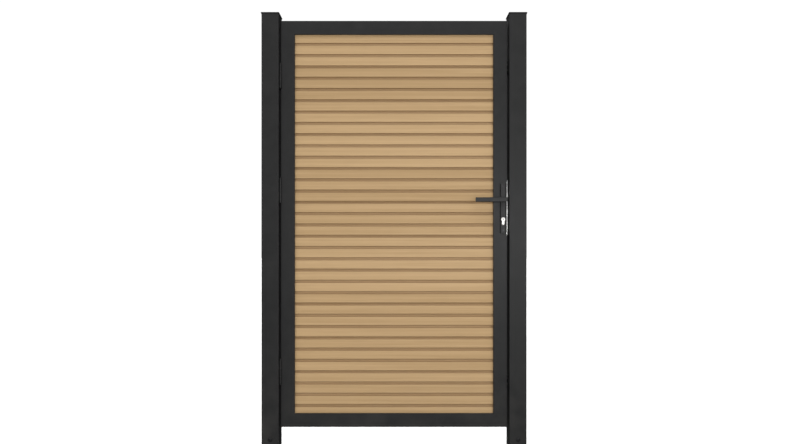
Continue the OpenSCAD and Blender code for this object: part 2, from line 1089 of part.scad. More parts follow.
// Screws from the front, each in a threaded sleeve from the rear
module backplate_screws() {
  length = 1.6 * leaf_face + plate_t;
  bore_end = length - plate_face + 1;
  color(CAP)
    backplate_screw_places() {
      translate([0, -plate_face, 0])
        rotate([90, 0, 0])
          driven_screw(length);
      difference() {
        union() {
          rod_y(sleeve_d, 2, plate_face);
          rod_y(screw_head_d, plate_face, plate_face + 1);
        }
        rod_y(screw_d + 2 * turn_clear, 1, bore_end);
      }
    }
}

// Flat bar on a round neck, drawn for the front of the leaf
module lever() {
  bar_l = lever_l + lever_back;
  bar_x = (lever_back - lever_l) / 2;
  bar_y = -(neck_end + lever_t / 2);
  difference() {
    union() {
      rod_y(neck_d, -neck_end - 1, -leaf_face - 0.5);
      intersection() {
        translate([bar_x, bar_y, 0])
          along_x(bar_l)
            rounded(lever_t, lever_h, lever_round);
        translate([bar_x, bar_y, 0])
          along_y(2 * lever_t)
            rounded(bar_l, lever_h, lever_round);
      }
    }
    translate([0, -socket_end / 2, 0])
      along_y(socket_end)
        square(spindle_s + 2 * turn_clear, center = true);
    translate([0, -grub_y, -neck_d])
      cylinder(d = grub_d + 2 * turn_clear, h = neck_d);
  }
}

module front_lever() {
  color(COAT)
    translate([lock_x, 0, spindle_z])
      lever();
}

module rear_lever() {
  color(COAT)
    translate([lock_x, 0, spindle_z])
      mirror([0, 1, 0])
        lever();
}

module spindle() {
  color(ZINC)
    translate([lock_x, 0, spindle_z])
      along_y(2 * socket_end - 4)
        square(spindle_s, center = true);
}

module lever_grub_screws() {
  top = -spindle_s / 2 - turn_clear;
  color(ZINC)
    for (y = [-grub_y, grub_y])
      translate([lock_x, y, spindle_z + top - 5])
        difference() {
          cylinder(d = grub_d, h = 5);
          translate([0, 0, -1])
            cylinder(d = 2.5, h = 3, $fn = 6);
        }
}

// ---------------------------------------------------------------- keep and stops

// Opening for a bolt, cut right through the keep or the side of the post
module keep_opening(z, bolt_height, bolt_thickness, margin) {
  translate([0, 0, z])
    along_x(4 * post_wall)
      square([bolt_thickness + margin, bolt_height + margin], center = true);
}

module keep_screw_places() {
  for (z = [forend_top - forend_screw_inset, forend_bottom + forend_screw_inset])
    translate([post_x - keep_t, 0, z])
      facing_left()
        children();
}

module stop_screw_places() {
  for (z = stop_z, side = [-1, 1])
    translate([post_x - stop_t, stop_front / 2 + 5, z + side * stop_h / 4])
      facing_left()
        children();
}

module lock_post_screw_places() {
  keep_screw_places()
    children();
  stop_screw_places()
    children();
}

module keep() {
  color(COAT)
    difference() {
      translate([post_x - keep_t / 2, 0, (forend_top + forend_bottom) / 2])
        along_x(keep_t)
          rounded(forend_w, forend_h, 2);
      translate([post_x, 0, 0]) {
        keep_opening(latch_z, latch_h, latch_t, 2 * keep_margin);
        keep_opening(bolt_z, bolt_h, bolt_t, 2 * keep_margin);
      }
      keep_screw_places()
        screw_hole(screw_l);
    }
}

// Angles on the post whose lips stand behind the edge of the leaf
module stop_brackets() {
  color(COAT)
    difference() {
      for (z = stop_z)
        translate([0, 0, z - stop_h / 2]) {
          translate([post_x - stop_t, stop_front, 0])
            cube([stop_t, stop_y + stop_t - stop_front, stop_h]);
          translate([post_x - stop_lap, stop_y, 0])
            cube([stop_lap, stop_t, stop_h]);
        }
      stop_screw_places()
        screw_hole(screw_l);
    }
}

module stop_buffers() {
  buffer_w = 10;
  color(RUBBER)
    for (z = stop_z)
      translate([post_x - stop_lap + 1, stop_y - buffer_t, z - stop_h / 2 + 5])
        cube([buffer_w, buffer_t, stop_h - 10]);
}

module lock_post_screws() {
  color(ZINC)
    lock_post_screw_places()
      driven_screw(screw_l);
}

// ---------------------------------------------------------------- nodes

hinge_post();
lock_post();
hinge_post_cap();
lock_post_cap();
hinge_post_foot();
lock_post_foot();
foot_screws();
hinge_post_plate(0);  // top_hinge_post_plate
hinge_post_plate(1);  // middle_hinge_post_plate
hinge_post_plate(2);  // bottom_hinge_post_plate
hinge_pins();
hinge_post_screws();
keep();
stop_brackets();
stop_buffers();
lock_post_screws();
hinge_stile();
lock_stile();
top_rail();
bottom_rail();
corner_cleats();
hinge_leaf_plate(0);  // top_hinge_leaf_plate
hinge_leaf_plate(1);  // middle_hinge_leaf_plate
hinge_leaf_plate(2);  // bottom_hinge_leaf_plate
hinge_leaf_screws();
hinge_washers();
lock_case();
lock_case_cover();
lock_forend();
forend_screws();
front_backplate();
rear_backplate();
backplate_screws();
cylinder_body();
cylinder_screw();
latch_spring();
front_lever();
rear_lever();
spindle();
follower();
lever_grub_screws();
latch_bolt();
dead_bolt();
front_plug();
rear_plug();
cylinder_cam();
for (i = [1:board_count])
  board(i);
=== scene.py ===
# %% [markdown]
# # A garden gate in oak and anthracite
#
# This lesson dresses a boarded garden gate. The gate's exact parts are already there: two square
# posts, a mitred aluminium frame filled with grooved oak boards, three hinges, and a mortice lock
# with a lever on each side. Engineering CAD is perfectly sharp and perfectly clean, and nothing
# real is. So the lesson does two things to every part that shows. It eases the corners, because a
# real corner has a small radius that catches the light, and it builds a finish that has the grain,
# texture and wear of the real coat, plate or wood.
#
# Lengths are in metres. The gate's front faces -Y, its hinges are on the -X side, and +Z is up.

# %% Load the frame
import math

import bmesh
import bpy
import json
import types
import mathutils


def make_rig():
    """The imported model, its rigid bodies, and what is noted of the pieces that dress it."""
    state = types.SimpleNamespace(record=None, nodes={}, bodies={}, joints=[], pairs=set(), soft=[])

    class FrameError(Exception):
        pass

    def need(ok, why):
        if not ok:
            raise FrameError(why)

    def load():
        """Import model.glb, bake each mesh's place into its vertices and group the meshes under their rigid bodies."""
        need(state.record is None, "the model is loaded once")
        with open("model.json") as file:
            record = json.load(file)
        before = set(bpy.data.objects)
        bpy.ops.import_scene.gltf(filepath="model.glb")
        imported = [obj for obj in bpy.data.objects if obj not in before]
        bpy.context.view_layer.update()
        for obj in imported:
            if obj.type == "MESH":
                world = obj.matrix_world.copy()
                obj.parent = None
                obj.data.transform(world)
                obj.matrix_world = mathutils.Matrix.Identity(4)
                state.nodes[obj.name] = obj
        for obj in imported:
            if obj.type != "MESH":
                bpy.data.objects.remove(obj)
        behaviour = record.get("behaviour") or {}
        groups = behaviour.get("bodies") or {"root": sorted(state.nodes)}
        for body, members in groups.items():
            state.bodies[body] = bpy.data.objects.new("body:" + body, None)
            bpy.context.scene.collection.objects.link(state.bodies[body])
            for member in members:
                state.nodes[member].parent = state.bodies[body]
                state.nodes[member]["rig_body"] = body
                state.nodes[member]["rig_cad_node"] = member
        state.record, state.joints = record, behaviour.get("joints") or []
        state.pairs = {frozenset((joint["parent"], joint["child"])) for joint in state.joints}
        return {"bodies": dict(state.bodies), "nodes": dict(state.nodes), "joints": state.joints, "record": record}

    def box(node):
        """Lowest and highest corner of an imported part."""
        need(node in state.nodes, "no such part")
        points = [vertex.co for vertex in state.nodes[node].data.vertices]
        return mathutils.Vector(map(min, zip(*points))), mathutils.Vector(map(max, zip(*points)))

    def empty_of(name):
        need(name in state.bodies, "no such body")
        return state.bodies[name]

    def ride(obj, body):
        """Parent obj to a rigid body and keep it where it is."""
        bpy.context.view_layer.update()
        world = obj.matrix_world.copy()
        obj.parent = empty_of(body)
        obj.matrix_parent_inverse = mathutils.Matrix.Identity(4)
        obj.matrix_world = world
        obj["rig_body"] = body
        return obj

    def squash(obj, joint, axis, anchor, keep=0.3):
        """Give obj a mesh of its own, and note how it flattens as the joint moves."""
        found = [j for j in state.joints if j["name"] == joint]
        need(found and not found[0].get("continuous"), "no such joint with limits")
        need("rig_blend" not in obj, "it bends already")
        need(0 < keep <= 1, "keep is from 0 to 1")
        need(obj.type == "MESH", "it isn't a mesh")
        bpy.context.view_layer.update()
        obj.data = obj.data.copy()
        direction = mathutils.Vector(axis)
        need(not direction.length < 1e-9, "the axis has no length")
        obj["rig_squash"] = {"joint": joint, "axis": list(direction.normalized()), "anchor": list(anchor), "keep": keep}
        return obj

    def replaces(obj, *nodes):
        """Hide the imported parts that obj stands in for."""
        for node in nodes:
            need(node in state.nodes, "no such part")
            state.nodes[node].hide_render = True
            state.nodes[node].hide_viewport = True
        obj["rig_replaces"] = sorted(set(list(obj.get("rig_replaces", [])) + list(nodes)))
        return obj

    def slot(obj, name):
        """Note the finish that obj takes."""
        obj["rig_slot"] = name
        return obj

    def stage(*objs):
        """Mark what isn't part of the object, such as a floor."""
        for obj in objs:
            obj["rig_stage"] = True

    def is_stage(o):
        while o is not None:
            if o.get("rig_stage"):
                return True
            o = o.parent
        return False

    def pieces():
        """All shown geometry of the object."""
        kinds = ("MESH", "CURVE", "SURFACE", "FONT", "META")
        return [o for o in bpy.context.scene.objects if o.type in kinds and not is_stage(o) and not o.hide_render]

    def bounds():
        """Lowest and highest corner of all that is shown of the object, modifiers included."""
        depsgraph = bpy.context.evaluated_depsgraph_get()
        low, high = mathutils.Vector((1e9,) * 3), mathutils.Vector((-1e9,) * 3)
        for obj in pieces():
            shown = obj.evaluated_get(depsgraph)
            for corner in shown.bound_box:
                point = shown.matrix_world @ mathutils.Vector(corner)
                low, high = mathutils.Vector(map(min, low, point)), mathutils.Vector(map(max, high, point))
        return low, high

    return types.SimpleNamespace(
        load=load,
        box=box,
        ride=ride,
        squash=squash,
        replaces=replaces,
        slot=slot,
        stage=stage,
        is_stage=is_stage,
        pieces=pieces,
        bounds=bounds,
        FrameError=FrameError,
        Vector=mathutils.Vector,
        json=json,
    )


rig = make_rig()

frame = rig.load()
nodes = frame["nodes"]
scene = bpy.context.scene
cad_low, cad_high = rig.bounds()
body_of = {n: o["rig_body"] for n, o in nodes.items()}
slot_of = {n: o.data.materials[0].name.split(".")[0] for n, o in nodes.items()}
MM = 1000  # millimetres in a metre, for what is printed

print(f"{len(nodes)} parts on {len(frame['bodies'])} bodies")
print("finishes:", sorted(set(slot_of.values())))

# %% [markdown]
# ## Camera
#
# A gate is judged square on, as a builder sees it from the path. The camera stands 2.7 m in front
# of the gate, a little under the middle of its height, and looks level, so that the posts stay
# parallel. A lens tilted upwards would make them lean. A small shift of the lens, nearly all of it
# vertical, moves the gate in the frame instead, as a view camera does.

# %% Stand the camera on the path
CAMERA_BACK = 2.72
CAMERA_HEIGHT = 0.9537
LENS_MM = 27.77
SENSOR_MM = 36.0
SHIFT_ACROSS = 0.0012
SHIFT_UP = 0.0228

camera_data = bpy.data.cameras.new("path_camera")
camera_data.lens = LENS_MM
camera_data.sensor_width = SENSOR_MM
camera_data.shift_x = SHIFT_ACROSS
camera_data.shift_y = SHIFT_UP
camera = bpy.data.objects.new("path_camera", camera_data)
camera.location = (0.0, -CAMERA_BACK, CAMERA_HEIGHT)
camera.rotation_euler = (math.radians(90), 0.0, 0.0)
scene.collection.objects.link(camera)
scene.camera = camera
print(f"camera {CAMERA_BACK} m in front, lens {LENS_MM} mm")

# %% [markdown]
# ## Light and floor
#
# The gate stands in a white studio. Dark satin metal shows only what it mirrors, so what stands
# around it matters more to it than to the wood. Four things light it. A dome that is bright in
# front and dark behind gives most of the light, so the grooves have only soft shadows, and the
# narrow gaps beside the leaf reflect the dark side and stay dark. A broad soft sun in front and
# above adds a thin shadow at the top of each groove, and a second one lights the back. A wide lamp
# at chest height gives the posts a faint sheen at half height that fades to the ends. The floor is
# hidden from reflections for the same reason as the dome's dark side: else it would glow in the
# gaps. The view transform is the plain one, so white stays white.


# %% Lamps
def aim_at(lamp, place, aim):
    """Puts a lamp at one place, looking at another."""
    lamp.location = place
    lamp.rotation_mode = "QUATERNION"
    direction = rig.Vector(aim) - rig.Vector(place)
    lamp.rotation_quaternion = direction.to_track_quat("-Z", "Y")
    scene.collection.objects.link(lamp)


def soft_sun(name, place, strength, spread):
    """Even light from a wide patch of the sky, spread degrees across."""
    data = bpy.data.lights.new(name, "SUN")
    data.energy = strength
    data.angle = math.radians(spread)
    aim_at(bpy.data.objects.new(name, data), place, (0.0, 0.0, 0.0))


def soft_lamp(name, place, aim, width, height, watts):
    """A rectangular soft box."""
    data = bpy.data.lights.new(name, "AREA")
    data.shape = "RECTANGLE"
    data.size = width
    data.size_y = height
    data.energy = watts
    aim_at(bpy.data.objects.new(name, data), place, aim)


soft_sun("front_sun", place=(0.25, -2.0, 2.3), strength=1.0, spread=45.0)
soft_sun("back_sun", place=(-0.6, 2.0, 2.6), strength=2.4, spread=45.0)
soft_lamp(
    "chest_lamp",
    place=(0.75, -2.9, 1.0),
    aim=(0.2, 0.0, 1.0),
    width=2.2,
    height=0.6,
    watts=24.0,
)
print("lamps:", [o.name for o in scene.objects if o.type == "LIGHT"])

# %% Dome
DOME_MIDDLE = (0.0, -0.966, 0.259)
DARK_SIDE = (0.05, 0.05, 0.05, 1.0)
LIT_SIDE = (0.66, 0.66, 0.66, 1.0)
DUSK_FROM = -0.05
DUSK_TO = 0.55
WHITE = (1.0, 1.0, 1.0, 1.0)
WALL_STRENGTH = 1.05

world = bpy.data.worlds.new("studio")
scene.world = world
world.use_nodes = True
tree = world.node_tree
tree.nodes.clear()
direction = tree.nodes.new("ShaderNodeTexCoord").outputs["Generated"]
facing = tree.nodes.new("ShaderNodeVectorMath")
facing.operation = "DOT_PRODUCT"
facing.inputs[1].default_value = DOME_MIDDLE
tree.links.new(direction, facing.inputs[0])
dusk = tree.nodes.new("ShaderNodeMapRange")
dusk.interpolation_type = "SMOOTHSTEP"
dusk.inputs["From Min"].default_value = DUSK_FROM
dusk.inputs["From Max"].default_value = DUSK_TO
tree.links.new(facing.outputs["Value"], dusk.inputs["Value"])
dome_colour = tree.nodes.new("ShaderNodeMix")
dome_colour.data_type = "RGBA"
dome_colour.inputs[6].default_value = DARK_SIDE
dome_colour.inputs[7].default_value = LIT_SIDE
tree.links.new(dusk.outputs[0], dome_colour.inputs[0])
dome = tree.nodes.new("ShaderNodeBackground")
tree.links.new(dome_colour.outputs[2], dome.inputs["Color"])
wall = tree.nodes.new("ShaderNodeBackground")
wall.inputs["Color"].default_value = WHITE
wall.inputs["Strength"].default_value = WALL_STRENGTH
choose = tree.nodes.new("ShaderNodeMixShader")
out = tree.nodes.new("ShaderNodeOutputWorld")
seen = tree.nodes.new("ShaderNodeLightPath").outputs["Is Camera Ray"]
tree.links.new(seen, choose.inputs["Fac"])
tree.links.new(dome.outputs["Background"], choose.inputs[1])
tree.links.new(wall.outputs["Background"], choose.inputs[2])
tree.links.new(choose.outputs["Shader"], out.inputs["Surface"])
scene.view_settings.view_transform = "Standard"
print("dome and wall ready")

# %% Floor
FLOOR_HALF = 30.0

floor_bm = bmesh.new()
bmesh.ops.create_grid(floor_bm, x_segments=1, y_segments=1, size=FLOOR_HALF)
floor_mesh = bpy.data.meshes.new("floor")
floor_bm.to_mesh(floor_mesh)
floor_bm.free()
floor = bpy.data.objects.new("floor", floor_mesh)
scene.collection.objects.link(floor)
floor.visible_glossy = False
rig.stage(floor)
print("floor laid")

# %% [markdown]
# ## Small tools for finishes
#
# A finish is a tree of shader nodes. Writing each node and link out in full would hide the idea,
# so one helper makes a node, sets its options, and either sets each input to a number or wires it
# to another node's output. A second helper starts a node group: a reusable effect with named
# inputs and outputs, which each finish places with its own values.


# %% Helpers for node trees
def put(tree, kind, inputs=None, **options):
    """Adds one shader node. An input is a plain value, or another node's output to wire in."""
    made = tree.nodes.new("ShaderNode" + kind)
    for name, value in options.items():
        setattr(made, name, value)
    for name, value in (inputs or {}).items():
        if isinstance(value, bpy.types.NodeSocket):
            tree.links.new(value, made.inputs[name])
        else:
            made.inputs[name].default_value = value
    return made


def reckon(tree, operation, first, second=0.0, clamp=False):
    """The result of a small sum on one or two values."""
    made = put(tree, "Math", {0: first, 1: second}, operation=operation, use_clamp=clamp)
    return made.outputs[0]


def blend_colours(tree, share, first, second):
    """A mix of two colours, from first at share 0 to second at share 1."""
    made = tree.nodes.new("ShaderNodeMix")
    made.data_type = "RGBA"
    for socket, value in ((0, share), (6, first), (7, second)):
        if isinstance(value, bpy.types.NodeSocket):
            tree.links.new(value, made.inputs[socket])
        else:
            made.inputs[socket].default_value = value
    return made.outputs[2]


def remap(tree, value, low, high, new_low=0.0, new_high=1.0):
    """A value carried from one range to another, and held at its ends."""
    inputs = {0: value, 1: low, 2: high, 3: new_low, 4: new_high}
    return put(tree, "MapRange", inputs).outputs[0]


def start_group(name, takes, gives):
    """A new node group with its named inputs and outputs."""
    group = bpy.data.node_groups.new(name, "ShaderNodeTree")
    for label, kind, value in takes:
        socket = group.interface.new_socket(label, in_out="INPUT", socket_type=f"NodeSocket{kind}")
        if value is not None:
            socket.default_value = value
    for label, kind in gives:
        group.interface.new_socket(label, in_out="OUTPUT", socket_type=f"NodeSocket{kind}")
    came_in = group.nodes.new("NodeGroupInput")
    goes_out = group.nodes.new("NodeGroupOutput")
    return group, came_in.outputs, goes_out.inputs


def place_group(tree, group, **inputs):
    """One use of a group in a finish, with its own values."""
    made = tree.nodes.new("ShaderNodeGroup")
    made.node_tree = group
    for name, value in inputs.items():
        socket = made.inputs[name.replace("_", " ").capitalize()]
        if isinstance(value, bpy.types.NodeSocket):
            tree.links.new(value, socket)
        else:
            socket.default_value = value
    return made.outputs


def grey(value, warm=0.0):
    """A grey as a colour with alpha, a touch warm or cool."""
    return (value * (1 + warm), value, value * (1 - warm), 1.0)


print("helpers ready")

# %% [markdown]
# ## Effects that several finishes share
#
# Four effects come back in nearly every finish, so each is a group that is built once:
#
# - *fine texture*: the orange peel of powder coat, the spark texture of moulded plastic;
# - *edge wear*: handling polishes the corners, and their coat goes paler. The corners that the
#   lesson eases carry an attribute called edge, so the effect knows exactly where they are;
# - *brushing*: long fine scratches in one direction, left by a belt or a wheel;
# - *weather*: dust that settles in soft clouds, thicker near the ground and on ledges.


# %% Group: fine texture
def make_fine_texture():
    """Fine relief for the bump, and a broad drift of tone."""
    takes = [("Vector", "Vector", None), ("Scale", "Float", 800.0)]
    gives = [("Height", "Float"), ("Tone", "Float")]
    group, given, result = start_group("fine_texture", takes, gives)
    where, fine_scale = given["Vector"], given["Scale"]
    grain = put(group, "TexNoise", {"Vector": where, "Scale": fine_scale, "Detail": 2.0})
    broad_scale = reckon(group, "MULTIPLY", fine_scale, 0.02)
    broad = put(group, "TexNoise", {"Vector": where, "Scale": broad_scale, "Detail": 3.0})
    group.links.new(grain.outputs["Fac"], result["Height"])
    group.links.new(broad.outputs["Fac"], result["Tone"])
    return group


fine_texture = make_fine_texture()
print("group", fine_texture.name)


# %% Group: edge wear
def make_edge_wear():
    """Where the eased corners are rubbed, in patches."""
    takes = [("Vector", "Vector", None), ("Scale", "Float", 60.0), ("Amount", "Float", 0.5)]
    group, given, result = start_group("edge_wear", takes, [("Mask", "Float")])
    edge = put(group, "Attribute", attribute_name="edge").outputs["Fac"]
    where, patch_scale = given["Vector"], given["Scale"]
    patches = put(group, "TexNoise", {"Vector": where, "Scale": patch_scale, "Detail": 4.0})
    worn = remap(group, patches.outputs["Fac"], 0.42, 0.62)
    mask = reckon(group, "MULTIPLY", edge, worn)
    group.links.new(reckon(group, "MULTIPLY", mask, given["Amount"]), result["Mask"])
    return group


edge_wear = make_edge_wear()
print("group", edge_wear.name)


# %% Group: brushing
def make_brushing():
    """Long fine scratches, and clouds of tone among them."""
    takes = [("Vector", "Vector", None), ("Stretch", "Vector", (900.0, 900.0, 12.0))]
    gives = [("Height", "Float"), ("Tone", "Float")]
    group, given, result = start_group("brushing", takes, gives)
    both = {0: given["Vector"], 1: given["Stretch"]}
    pulled = put(group, "VectorMath", both, operation="MULTIPLY")
    lines = put(group, "TexNoise", {"Vector": pulled.outputs[0], "Scale": 1.0, "Detail": 3.0})
    clouds = put(group, "TexNoise", {"Vector": given["Vector"], "Scale": 45.0, "Detail": 2.0})
    mixed = reckon(group, "MULTIPLY", clouds.outputs["Fac"], 0.4)
    tone = reckon(group, "ADD", reckon(group, "MULTIPLY", lines.outputs["Fac"], 0.6), mixed)
    group.links.new(lines.outputs["Fac"], result["Height"])
    group.links.new(tone, result["Tone"])
    return group


brushing = make_brushing()
print("group", brushing.name)


# %% Group: weather
def make_weather():
    """Dust, more of it near the ground and on ledges."""
    takes = [("Vector", "Vector", None), ("Amount", "Float", 0.3)]
    group, given, result = start_group("weather", takes, [("Mask", "Float")])
    place = put(group, "SeparateXYZ", {0: given["Vector"]}).outputs
    low = remap(group, place["Z"], 0.0, 0.45, 1.0, 0.12)
    facing = put(group, "NewGeometry").outputs["Normal"]
    up = put(group, "SeparateXYZ", {0: facing}).outputs["Z"]
    ledge = remap(group, up, 0.4, 1.0, 0.0, 0.6)
    clouds = put(group, "TexNoise", {"Vector": given["Vector"], "Scale": 9.0, "Detail": 6.0})
    patchy = remap(group, clouds.outputs["Fac"], 0.35, 0.75)
    total = reckon(group, "MULTIPLY", reckon(group, "ADD", low, ledge), patchy)
    group.links.new(reckon(group, "MULTIPLY", total, given["Amount"], clamp=True), result["Mask"])
    return group


weather = make_weather()
print("group", weather.name)

# %% [markdown]
# ## Powder coat
#
# The posts, the frame and the fittings are powder coated in a satin anthracite. The powder melts
# into a skin that is tough and even, with a fine orange peel that breaks up reflections. The coat
# is a plain plastic-like surface, so it is not metallic. Its colour drifts very slightly, the
# corners have gone a little paler, and a trace of dust lies low down and on the ledges. One
# function makes all three coats, because posts, frame and fittings come from different makers and
# never match exactly.


# %% Powder coats
BROAD_SPAN = (0.3, 0.7)  # where nearly all of a broad noise lies
TIGHT_SPAN = (0.36, 0.64)  # the same for a mix of noises, which strays less
COAT_DUST = (0.16, 0.145, 0.125, 1.0)


def start_finish(name):
    """A new finish: its tree, its main shader and the coordinates of the piece."""
    made = bpy.data.materials.new(name)
    made.use_nodes = True
    tree = made.node_tree
    shader = tree.nodes["Principled BSDF"]
    where = put(tree, "TexCoord").outputs["Object"]
    return made, tree, shader, where


def bump(tree, shader, height, depth, distance=0.0004):
    """Small relief from a height, wired to the shader's normal."""
    made = put(tree, "Bump", {"Height": height, "Strength": depth, "Distance": distance})
    tree.links.new(made.outputs["Normal"], shader.inputs["Normal"])


def powder_coat(name, shade, gloss_low, gloss_high, grain, peel):
    """Satin coat. The shade is its mean grey, and the two gloss values bound its roughness."""
    made, tree, shader, where = start_finish(name)
    texture = place_group(tree, fine_texture, vector=where, scale=grain)
    wear = place_group(tree, edge_wear, vector=where, scale=70.0, amount=0.55)
    dust = place_group(tree, weather, vector=where, amount=0.10)
    drift = remap(tree, texture["Tone"], *BROAD_SPAN)
    colour = blend_colours(tree, drift, grey(shade * 0.86, -0.02), grey(shade * 1.14, -0.01))
    colour = blend_colours(tree, wear["Mask"], colour, grey(shade * 3.2))
    colour = blend_colours(tree, dust["Mask"], colour, COAT_DUST)
    tree.links.new(colour, shader.inputs["Base Color"])
    rough = remap(tree, texture["Tone"], *BROAD_SPAN, gloss_low, gloss_high)
    tree.links.new(rough, shader.inputs["Roughness"])
    shader.inputs["Specular IOR Level"].default_value = 0.25
    bump(tree, shader, texture["Height"], peel)
    return made


finish = {}
for slot, shade, gloss_low, gloss_high, grain, peel in (
    ("post_coat", 0.0105, 0.40, 0.50, 900.0, 0.20),
    ("frame_coat", 0.0110, 0.38, 0.47, 1000.0, 0.18),
    ("hardware_coat", 0.0115, 0.34, 0.43, 1200.0, 0.16),
):
    finish[slot] = powder_coat(f"{slot}_satin", shade, gloss_low, gloss_high, grain, peel)
print("coats:", sorted(finish))

# %% [markdown]
# ## Moulded plastic, nylon and rubber
#
# The post caps are moulded in black plastic. The mould is spark eroded, so the plastic has an even
# fine grain and looks almost matt. The washers in the hinges are nylon, which turning polishes, and
# the buffers on the stops are rubber, the dullest of the three. They differ in shade, roughness and
# the size of their grain, so one function serves them.


# %% Plastics and rubber
PLASTIC_DUST = (0.12, 0.11, 0.10, 1.0)


def moulded(name, shade, gloss_low, gloss_high, grain, relief, dusty):
    """Black moulded material with a fine grain, paler where it is rubbed or dusty."""
    made, tree, shader, where = start_finish(name)
    texture = place_group(tree, fine_texture, vector=where, scale=grain)
    wear = place_group(tree, edge_wear, vector=where, scale=90.0, amount=0.4)
    dust = place_group(tree, weather, vector=where, amount=dusty)
    drift = remap(tree, texture["Height"], 0.35, 0.65)
    colour = blend_colours(tree, drift, grey(shade * 0.8), grey(shade * 1.25))
    colour = blend_colours(tree, wear["Mask"], colour, grey(shade * 3.0))
    colour = blend_colours(tree, dust["Mask"], colour, PLASTIC_DUST)
    tree.links.new(colour, shader.inputs["Base Color"])
    rough = remap(tree, texture["Tone"], *BROAD_SPAN, gloss_low, gloss_high)
    tree.links.new(rough, shader.inputs["Roughness"])
    bump(tree, shader, texture["Height"], relief)
    return made


for slot, shade, gloss_low, gloss_high, grain, relief, dusty in (
    ("cap_plastic", 0.006, 0.55, 0.68, 1400.0, 0.30, 0.10),
    ("nylon", 0.010, 0.36, 0.46, 900.0, 0.12, 0.05),
    ("rubber", 0.008, 0.72, 0.86, 700.0, 0.35, 0.12),
):
    name = f"{slot}_black"
    finish[slot] = moulded(name, shade, gloss_low, gloss_high, grain, relief, dusty)
print("plastics:", finish["cap_plastic"].name, finish["nylon"].name, finish["rubber"].name)

# %% [markdown]
# ## Bare and plated metal
#
# Steel fittings that are not coated are plated. Bright zinc has a faint blue cast and dulls in
# clouds. Hot-dip zinc, on the feet, cools into flat crystals, the spangle. The forend and both
# bolts are brushed stainless steel, and the cylinder is satin nickel, kept darker here than real
# nickel so that the front lamps don't burn it out. The screws of the feet and backplates and the
# hinge pins are black. All of these but the dulled hot-dip zinc are fully metallic: the colour
# tints the reflection, and the roughness decides how sharp it is. Brushing is stretched along the
# direction in which the piece was ground.


# %% Plated and brushed metals
def plated(name, dark, light, gloss_low, gloss_high, stretch, scratch):
    """Metal that drifts between two tones, with fine lines along one direction."""
    made, tree, shader, where = start_finish(name)
    lines = place_group(tree, brushing, vector=where, stretch=stretch)
    wear = place_group(tree, edge_wear, vector=where, scale=120.0, amount=0.5)
    drift = remap(tree, lines["Tone"], *TIGHT_SPAN)
    colour = blend_colours(tree, drift, dark, light)
    colour = blend_colours(tree, wear["Mask"], colour, grey(min(1.0, light[0] * 1.25)))
    tree.links.new(colour, shader.inputs["Base Color"])
    rough = remap(tree, lines["Tone"], *TIGHT_SPAN, gloss_high, gloss_low)
    tree.links.new(rough, shader.inputs["Roughness"])
    shader.inputs["Metallic"].default_value = 1.0
    bump(tree, shader, lines["Height"], scratch, 0.0002)
    return made


ROUND_GRAIN = (260.0, 260.0, 260.0)
UPRIGHT_LINES = (1500.0, 1500.0, 14.0)
LEVEL_LINES = (30.0, 1200.0, 1200.0)

for slot, name, dark, light, gloss, stretch, scratch in (
    ("zinc", "bright_zinc",
     (0.36, 0.37, 0.39, 1.0), (0.56, 0.57, 0.58, 1.0), (0.24, 0.40), ROUND_GRAIN, 0.10),
    ("black_screw", "black_zinc",
     (0.020, 0.020, 0.021, 1.0), (0.045, 0.045, 0.046, 1.0), (0.30, 0.42), ROUND_GRAIN, 0.10),
    ("stainless", "brushed_stainless",
     (0.66, 0.66, 0.65, 1.0), (0.86, 0.86, 0.84, 1.0), (0.22, 0.36), UPRIGHT_LINES, 0.16),
    ("nickel", "satin_nickel",
     (0.19, 0.186, 0.178, 1.0), (0.27, 0.264, 0.254, 1.0), (0.16, 0.27), LEVEL_LINES, 0.08),
    ("cleat_alloy", "mill_aluminium",
     (0.50, 0.50, 0.51, 1.0), (0.66, 0.66, 0.67, 1.0), (0.34, 0.50), LEVEL_LINES, 0.12),
):
    finish[slot] = plated(name, dark, light, *gloss, stretch, scratch)
print("metals:", [finish[s].name for s in ("zinc", "black_screw", "stainless", "nickel")])


# %% Hot-dip zinc with its spangle
CRYSTAL_DARK = (0.36, 0.37, 0.39, 1.0)
CRYSTAL_LIGHT = (0.55, 0.56, 0.58, 1.0)
DULLED_ZINC = (0.42, 0.42, 0.42, 1.0)
FOOT_DUST = (0.24, 0.215, 0.18, 1.0)


def hot_dip_zinc(name):
    """Zinc that froze in flat crystals, each turned its own way, and has dulled outdoors."""
    made, tree, shader, where = start_finish(name)
    crystals = put(tree, "TexVoronoi", {"Vector": where, "Scale": 130.0, "Randomness": 1.0})
    turn = put(tree, "SeparateColor", {0: crystals.outputs["Color"]}).outputs[0]
    haze = put(tree, "TexNoise", {"Vector": where, "Scale": 35.0, "Detail": 5.0}).outputs["Fac"]
    dust = place_group(tree, weather, vector=where, amount=0.45)
    colour = blend_colours(tree, turn, CRYSTAL_DARK, CRYSTAL_LIGHT)
    dulled = remap(tree, haze, 0.45, 0.75, 0.0, 0.6)
    colour = blend_colours(tree, dulled, colour, DULLED_ZINC)
    colour = blend_colours(tree, dust["Mask"], colour, FOOT_DUST)
    tree.links.new(colour, shader.inputs["Base Color"])
    tree.links.new(remap(tree, turn, 0.0, 1.0, 0.34, 0.56), shader.inputs["Roughness"])
    shader.inputs["Metallic"].default_value = 0.85
    bump(tree, shader, turn, 0.25, 0.0002)
    return made


finish["foot_zinc"] = hot_dip_zinc("hot_dip_zinc")
print("feet:", finish["foot_zinc"].name)

# %% [markdown]
# ## Oak boards
#
# The boards are light oak, planed into strips with a wide groove between them and finished with a
# clear matt oil. The grain runs along X. Three scales matter: each board has its own tone, long
# bands of growth run along it, and fine dark pores break those bands up. All three come from noise
# that is stretched along the board, so nothing repeats. The board is found from its height, because
# every board covers the same height of the gate.

